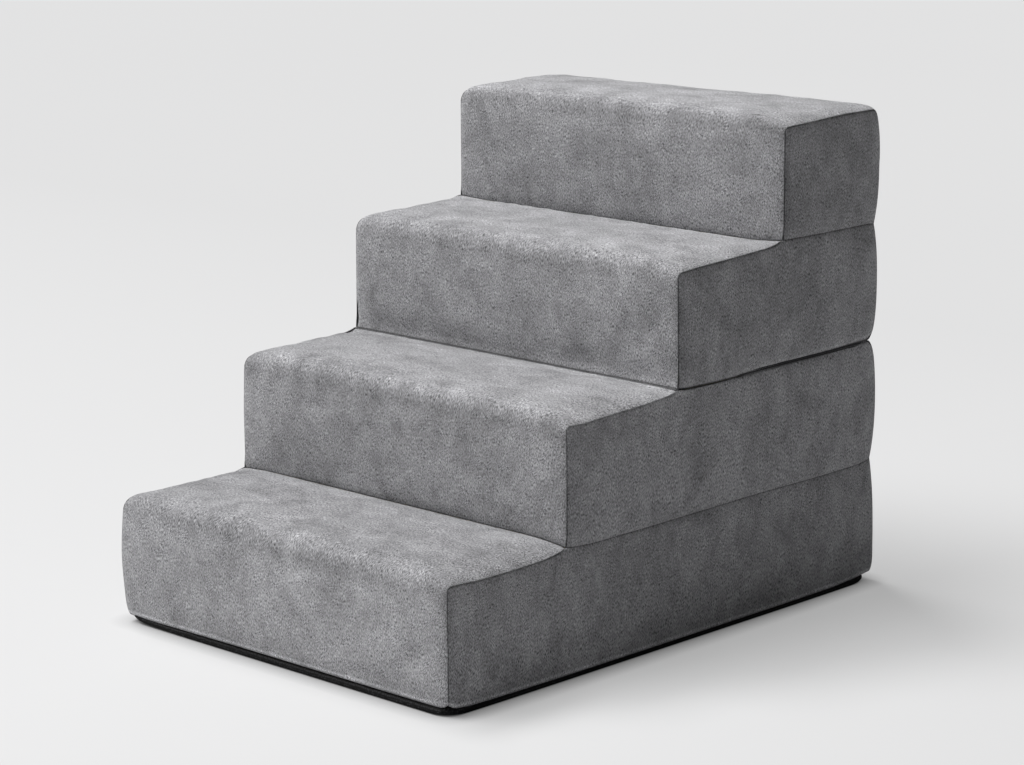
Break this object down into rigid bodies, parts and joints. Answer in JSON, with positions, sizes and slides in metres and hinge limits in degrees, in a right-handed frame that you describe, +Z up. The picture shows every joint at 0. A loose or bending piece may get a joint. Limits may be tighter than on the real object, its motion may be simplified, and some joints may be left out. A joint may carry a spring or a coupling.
{
  "type": "pet stairs",
  "caption": "Upholstered foam pet stairs in two L-shaped halves that fold at a sewn crease, with a turned-up non-slip base panel and a zip across the back of each half.",
  "frame": {"origin": "centre of the overall box, on the floor", "axes": "+Z up, the climbing front faces -Y and the steps rise towards +Y, X runs across the stairs"},
  "size_m": [0.408, 0.5629, 0.4475],
  "materials": {
    "plush": "short mottled pile",
    "non_slip_base": "matte textile with a fine non-slip grain",
    "foam": "open-cell foam",
    "lining": "plain woven lining",
    "fold_seam": "sewn seam",
    "zip_tape": "woven tape",
    "zip_teeth": "satin",
    "zip_metal": "nickel plated"
  },
  "bodies": {
    "lower_half": {"base_panel": "non_slip_base", "foam_step_1": "foam", "foam_step_2": "foam", "step_cover_1": "plush", "step_cover_2": "plush", "right_side_1": "plush", "right_side_2": "plush", "left_side_1": "plush", "left_side_2": "plush", "rear_panel_1": "plush", "rear_panel_2": "plush", "lid_lining": "lining", "fold_seam": "fold_seam", "lower_zip_tapes": "zip_tape", "lower_zip_teeth": "zip_teeth", "lower_zip_stops": "zip_metal"},
    "upper_half": {"foam_step_3": "foam", "foam_step_4": "foam", "step_cover_3": "plush", "step_cover_4": "plush", "right_side_3": "plush", "right_side_4": "plush", "left_side_3": "plush", "left_side_4": "plush", "rear_panel_3": "plush", "rear_panel_4": "plush", "underside_lining": "lining", "upper_zip_tapes": "zip_tape", "upper_zip_teeth": "zip_teeth", "upper_zip_stops": "zip_metal"},
    "lower_zip_slider": {"lower_zip_slider": "zip_metal"},
    "lower_zip_pull": {"lower_zip_pull": "zip_metal"},
    "upper_zip_slider": {"upper_zip_slider": "zip_metal"},
    "upper_zip_pull": {"upper_zip_pull": "zip_metal"}
  },
  "joints": [
    {"name": "fold_hinge", "type": "hinge", "parent": "lower_half", "child": "upper_half", "pos_m": [0, 0.0035, 0.2275], "axis": [1, 0, 0], "range_deg": [0, 75]},
    {"name": "lower_zip_slide", "type": "slide", "parent": "lower_half", "child": "lower_zip_slider", "axis": [-1, 0, 0], "range_m": [0, 0.33312]},
    {"name": "lower_pull_hinge", "type": "hinge", "parent": "lower_zip_slider", "child": "lower_zip_pull", "pos_m": [0.16656, 0.2781, 0.119], "axis": [0, 0, -1], "range_deg": [0, 180]},
    {"name": "upper_zip_slide", "type": "slide", "parent": "upper_half", "child": "upper_zip_slider", "axis": [-1, 0, 0], "range_m": [0, 0.33312]},
    {"name": "upper_pull_hinge", "type": "hinge", "parent": "upper_zip_slider", "child": "upper_zip_pull", "pos_m": [0.16656, 0.2781, 0.336], "axis": [0, 0, -1], "range_deg": [0, 180]}
  ]
}
